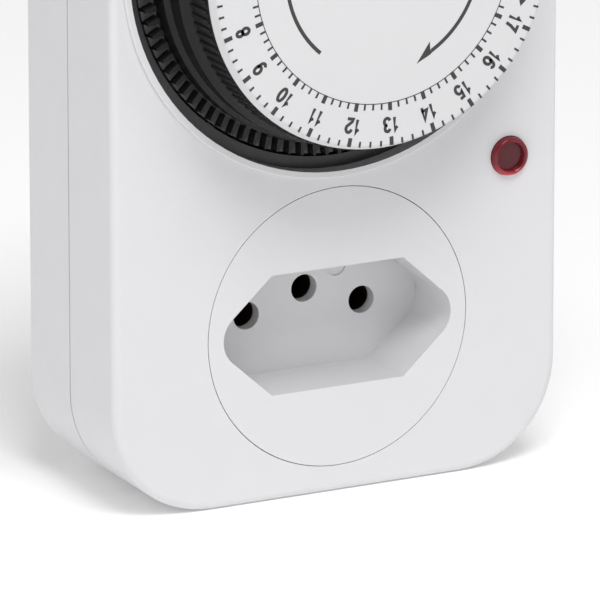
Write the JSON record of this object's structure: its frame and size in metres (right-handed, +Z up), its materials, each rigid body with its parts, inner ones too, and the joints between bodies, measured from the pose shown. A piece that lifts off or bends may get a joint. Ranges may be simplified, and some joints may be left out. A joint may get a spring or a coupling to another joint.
{
  "type": "programmable timer",
  "caption": "Plug-in mechanical timer for the mains: 24 hour dial with sliding tappets above a three-pin outlet, red lamp, three-pin plug on the back.",
  "frame": {"origin": "on the face of the plug, midway between its two outer pins", "axes": "+Y into the wall along the pins, +Z up towards the dial, +X to the right as seen from the front"},
  "size_m": [0.0746, 0.0732, 0.1222],
  "materials": {
    "case_white": "satin white moulding",
    "bezel_grey": "dark grey gloss",
    "dial_black": "black gloss",
    "tappet_black": "black",
    "guide_grey": "grey",
    "dial_white": "printed white",
    "inner_plastic": "natural",
    "rotor_plastic": "magnet-filled plastic",
    "slider_grey": "dark grey",
    "brass": "stamped",
    "plated_pin": "nickel plated",
    "steel": "zinc plated",
    "can_metal": "drawn can",
    "coil_tape": "taped winding",
    "lens_red": "clear red",
    "lamp_glass": "clear glass",
    "resistor_body": "lacquered"
  },
  "bodies": {
    "housing": {"front_cover": "case_white", "rear_cover": "case_white", "dial_bezel": "bezel_grey", "socket_insert": "case_white", "contact_block": "inner_plastic", "sleeve_live": "brass", "sleeve_neutral": "brass", "sleeve_earth": "brass", "pin_live": "plated_pin", "pin_neutral": "plated_pin", "pin_earth": "plated_pin", "neutral_link": "brass", "live_input_bar": "brass", "live_output_bar": "brass", "neon_lens": "lens_red", "neon_bulb": "lamp_glass", "neon_resistor": "resistor_body", "chassis_plate": "steel", "chassis_screws": "steel", "motor_can": "can_metal", "motor_coil": "coil_tape", "idler_axle": "steel", "dial_axle": "steel", "dial_retainer": "steel", "lever_pin": "steel", "case_screws": "steel"},
    "dial": {"dial_carrier": "dial_black", "tappet_guide": "guide_grey", "dial_label": "dial_white", "dial_gear": "inner_plastic"},
    "idler": {"idler_gear": "inner_plastic"},
    "rotor": {"motor_rotor": "rotor_plastic"},
    "switch": {"switch_lever": "inner_plastic", "contact_leaf": "brass"},
    "override": {"override_slider": "slider_grey"},
    "hour_00": {"tappets_00": "tappet_black"},
    "hour_01": {"tappets_01": "tappet_black"},
    "hour_02": {"tappets_02": "tappet_black"},
    "hour_03": {"tappets_03": "tappet_black"},
    "hour_04": {"tappets_04": "tappet_black"},
    "hour_05": {"tappets_05": "tappet_black"},
    "hour_06": {"tappets_06": "tappet_black"},
    "hour_07": {"tappets_07": "tappet_black"},
    "hour_08": {"tappets_08": "tappet_black"},
    "hour_09": {"tappets_09": "tappet_black"},
    "hour_10": {"tappets_10": "tappet_black"},
    "hour_11": {"tappets_11": "tappet_black"},
    "hour_12": {"tappets_12": "tappet_black"},
    "hour_13": {"tappets_13": "tappet_black"},
    "hour_14": {"tappets_14": "tappet_black"},
    "hour_15": {"tappets_15": "tappet_black"},
    "hour_16": {"tappets_16": "tappet_black"},
    "hour_17": {"tappets_17": "tappet_black"},
    "hour_18": {"tappets_18": "tappet_black"},
    "hour_19": {"tappets_19": "tappet_black"},
    "hour_20": {"tappets_20": "tappet_black"},
    "hour_21": {"tappets_21": "tappet_black"},
    "hour_22": {"tappets_22": "tappet_black"},
    "hour_23": {"tappets_23": "tappet_black"}
  },
  "joints": [
    {"name": "dial_spin", "type": "hinge", "parent": "housing", "child": "dial", "pos_m": [0, -0.04, 0.0574], "axis": [0, 1, 0], "continuous": true},
    {"name": "idler_spin", "type": "hinge", "parent": "housing", "child": "idler", "pos_m": [0.01478, -0.03, 0.03978], "axis": [0, 1, 0], "continuous": true},
    {"name": "rotor_spin", "type": "hinge", "parent": "housing", "child": "rotor", "pos_m": [0.01218, -0.02, 0.05455], "axis": [0, 1, 0], "continuous": true},
    {"name": "switch_pivot", "type": "hinge", "parent": "housing", "child": "switch", "pos_m": [-0.0225, -0.0268, 0.0245], "axis": [-1, 0, 0], "range_deg": [0, 6.5], "stiffness_Nm_per_rad": 0.002, "springref_deg": -5.73},
    {"name": "override_slide", "type": "slide", "parent": "housing", "child": "override", "axis": [0, 0, 1], "range_m": [0, 0.005]},
    {"name": "hour_00_slide", "type": "slide", "parent": "dial", "child": "hour_00", "axis": [0, 1, 0], "range_m": [0, 0.0018]},
    {"name": "hour_01_slide", "type": "slide", "parent": "dial", "child": "hour_01", "axis": [0, 1, 0], "range_m": [0, 0.0018]},
    {"name": "hour_02_slide", "type": "slide", "parent": "dial", "child": "hour_02", "axis": [0, 1, 0], "range_m": [0, 0.0018]},
    {"name": "hour_03_slide", "type": "slide", "parent": "dial", "child": "hour_03", "axis": [0, 1, 0], "range_m": [0, 0.0018]},
    {"name": "hour_04_slide", "type": "slide", "parent": "dial", "child": "hour_04", "axis": [0, 1, 0], "range_m": [0, 0.0018]},
    {"name": "hour_05_slide", "type": "slide", "parent": "dial", "child": "hour_05", "axis": [0, 1, 0], "range_m": [0, 0.0018]},
    {"name": "hour_06_slide", "type": "slide", "parent": "dial", "child": "hour_06", "axis": [0, 1, 0], "range_m": [0, 0.0018]},
    {"name": "hour_07_slide", "type": "slide", "parent": "dial", "child": "hour_07", "axis": [0, 1, 0], "range_m": [0, 0.0018]},
    {"name": "hour_08_slide", "type": "slide", "parent": "dial", "child": "hour_08", "axis": [0, 1, 0], "range_m": [0, 0.0018]},
    {"name": "hour_09_slide", "type": "slide", "parent": "dial", "child": "hour_09", "axis": [0, 1, 0], "range_m": [0, 0.0018]},
    {"name": "hour_10_slide", "type": "slide", "parent": "dial", "child": "hour_10", "axis": [0, 1, 0], "range_m": [0, 0.0018]},
    {"name": "hour_11_slide", "type": "slide", "parent": "dial", "child": "hour_11", "axis": [0, 1, 0], "range_m": [0, 0.0018]},
    {"name": "hour_12_slide", "type": "slide", "parent": "dial", "child": "hour_12", "axis": [0, 1, 0], "range_m": [0, 0.0018]},
    {"name": "hour_13_slide", "type": "slide", "parent": "dial", "child": "hour_13", "axis": [0, 1, 0], "range_m": [0, 0.0018]},
    {"name": "hour_14_slide", "type": "slide", "parent": "dial", "child": "hour_14", "axis": [0, 1, 0], "range_m": [0, 0.0018]},
    {"name": "hour_15_slide", "type": "slide", "parent": "dial", "child": "hour_15", "axis": [0, 1, 0], "range_m": [0, 0.0018]},
    {"name": "hour_16_slide", "type": "slide", "parent": "dial", "child": "hour_16", "axis": [0, 1, 0], "range_m": [0, 0.0018]},
    {"name": "hour_17_slide", "type": "slide", "parent": "dial", "child": "hour_17", "axis": [0, 1, 0], "range_m": [0, 0.0018]},
    {"name": "hour_18_slide", "type": "slide", "parent": "dial", "child": "hour_18", "axis": [0, 1, 0], "range_m": [0, 0.0018]},
    {"name": "hour_19_slide", "type": "slide", "parent": "dial", "child": "hour_19", "axis": [0, 1, 0], "range_m": [0, 0.0018]},
    {"name": "hour_20_slide", "type": "slide", "parent": "dial", "child": "hour_20", "axis": [0, 1, 0], "range_m": [0, 0.0018]},
    {"name": "hour_21_slide", "type": "slide", "parent": "dial", "child": "hour_21", "axis": [0, 1, 0], "range_m": [0, 0.0018]},
    {"name": "hour_22_slide", "type": "slide", "parent": "dial", "child": "hour_22", "axis": [0, 1, 0], "range_m": [0, 0.0018]},
    {"name": "hour_23_slide", "type": "slide", "parent": "dial", "child": "hour_23", "axis": [0, 1, 0], "range_m": [0, 0.0018]}
  ],
  "couplings": [
    {"joint": "idler_spin", "follows": "dial_spin", "ratio": -6.6667},
    {"joint": "rotor_spin", "follows": "dial_spin", "ratio": 26.667}
  ]
}
